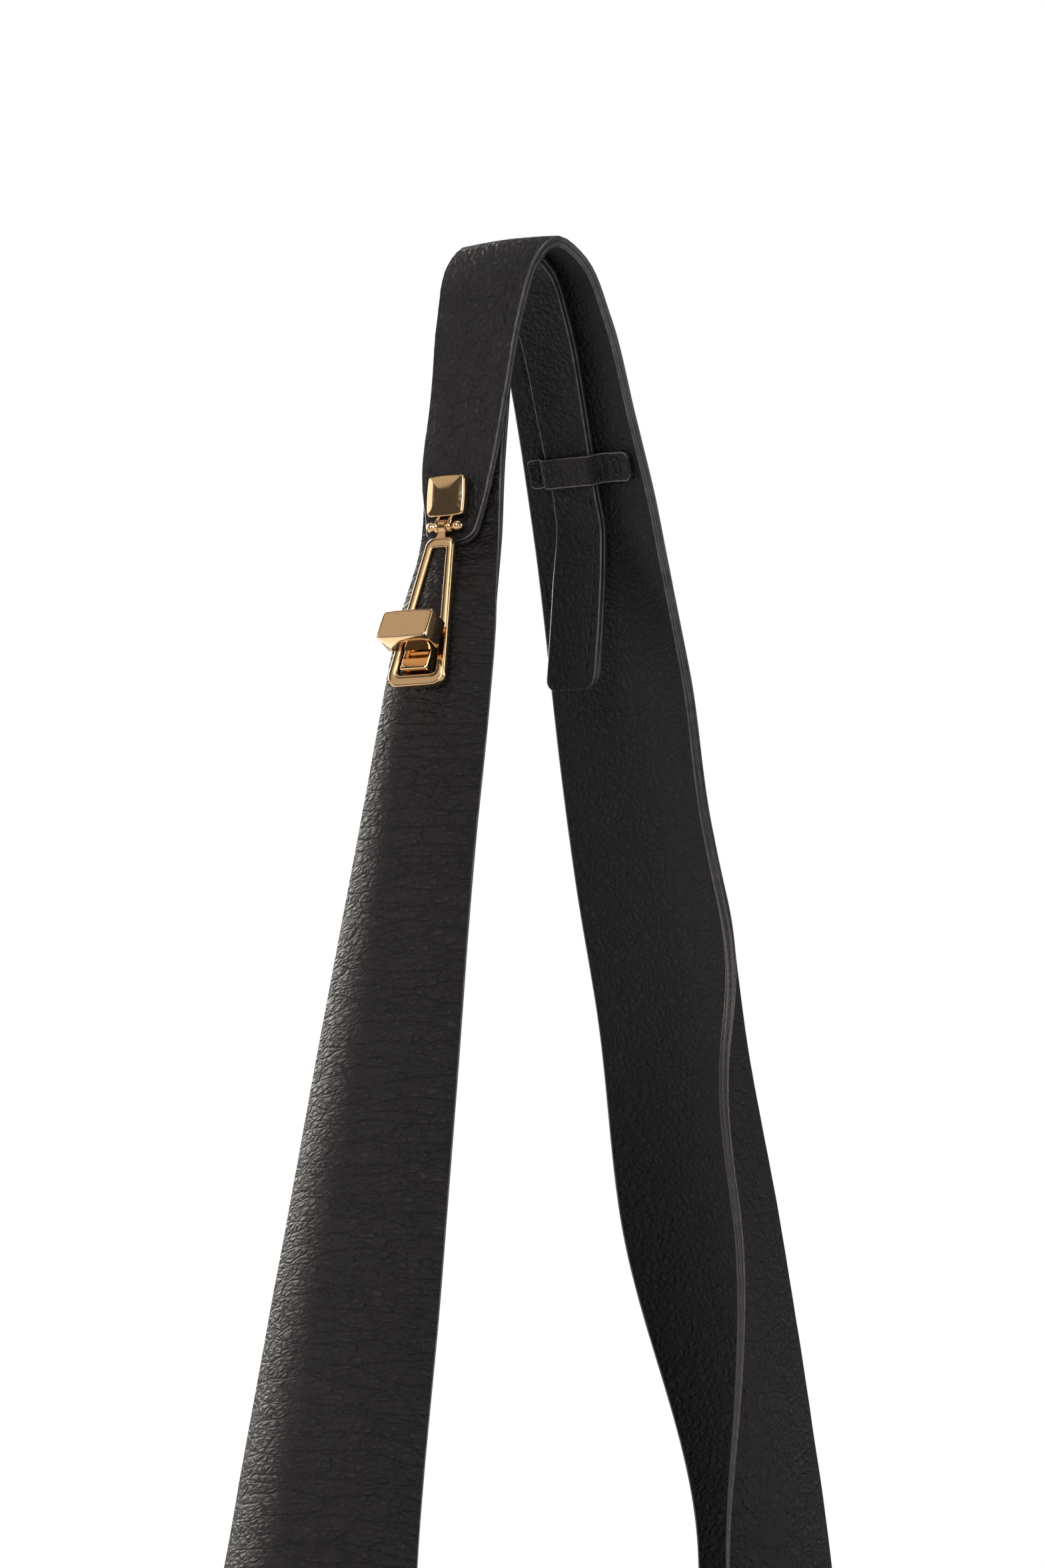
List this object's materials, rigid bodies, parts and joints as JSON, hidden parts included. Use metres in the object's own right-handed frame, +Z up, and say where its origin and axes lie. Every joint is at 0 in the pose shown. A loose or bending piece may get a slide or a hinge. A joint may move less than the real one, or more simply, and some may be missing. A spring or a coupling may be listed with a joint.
{
  "type": "leather shoulder bag with turn lock strap",
  "caption": "Open leather shoulder bag whose two wings rise into a strap closed by a hinged metal loop over a turn lock.",
  "frame": {"origin": "centre of the base on the surface that the bag stands on", "axes": "+Z up to the strap's crest, X along the bag's length with the turn lock on the -X side, front facing -Y"},
  "size_m": [0.296, 0.117, 0.5998],
  "materials": {
    "leather": "black pebbled leather, soft satin",
    "lining": "black smooth leather lining",
    "board": "pressed fibre board",
    "thread": "black waxed thread",
    "gold": "polished warm gold plating",
    "steel": "plain nickel-plated steel"
  },
  "bodies": {
    "bag": {"left_wing": "leather", "left_wing_lining": "lining", "right_wing": "leather", "right_wing_lining": "lining", "front_panel": "leather", "front_lining": "lining", "back_panel": "leather", "back_lining": "lining", "base_panel": "leather", "base_board": "board", "base_lining": "lining", "keeper": "leather", "keeper_stitch_front": "thread", "keeper_stitch_back": "thread", "hasp_plate": "gold", "plate_backing": "steel", "plate_rivet_front": "gold", "plate_rivet_back": "gold", "hinge_pin": "gold", "lock_base": "gold", "lock_spring": "steel", "lock_backing": "steel", "lock_rivet_lower": "gold", "lock_rivet_upper": "gold"},
    "loop": {"hasp_loop": "gold"},
    "turn": {"lock_head": "gold", "lock_stem": "gold", "stem_clip": "steel"}
  },
  "joints": [
    {"name": "loop_hinge", "type": "hinge", "parent": "bag", "child": "loop", "pos_m": [-0.03002, 0, 0.52239], "axis": [0, 1, 0], "range_deg": [0, 1.5]},
    {"name": "lock_turn", "type": "hinge", "parent": "bag", "child": "turn", "pos_m": [-0.03802, 0, 0.4915], "axis": [-0.8856, 0, 0.4645], "range_deg": [0, 90]}
  ]
}
